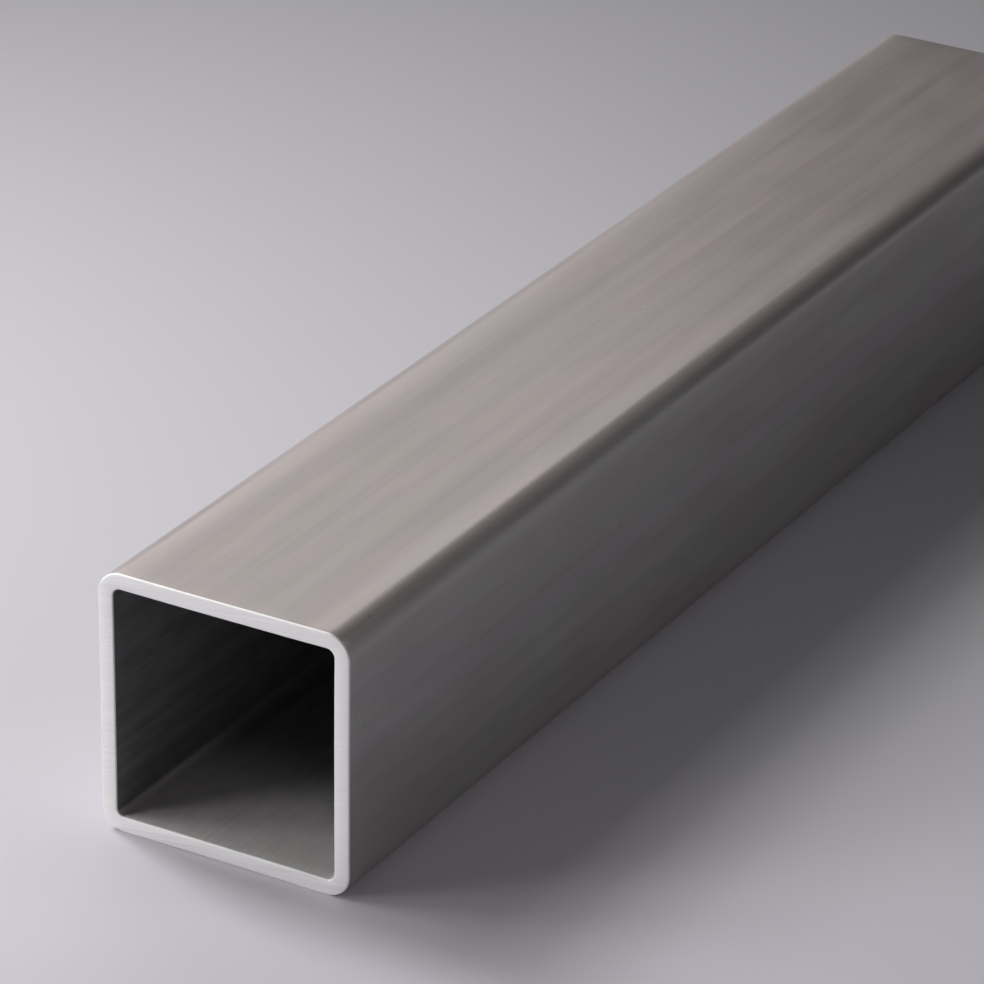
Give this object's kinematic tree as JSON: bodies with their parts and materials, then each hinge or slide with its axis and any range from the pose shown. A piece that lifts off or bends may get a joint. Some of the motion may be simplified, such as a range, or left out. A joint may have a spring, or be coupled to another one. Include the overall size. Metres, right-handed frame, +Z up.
{
  "type": "square steel tube",
  "caption": "Length of square steel tube, thin walled with rounded corners, open at both sawn ends and lying on a flat side.",
  "frame": {"origin": "on the floor, under the middle of the tube, halfway between its sawn ends", "axes": "+X along the tube from the end nearest the picture's camera to the far one, +Z up, +Y towards the side that the picture doesn't show"},
  "size_m": [0.3, 0.05, 0.05],
  "materials": {
    "mill_steel": "satin"
  },
  "bodies": {
    "root": {"square_tube": "mill_steel"}
  },
  "joints": []
}
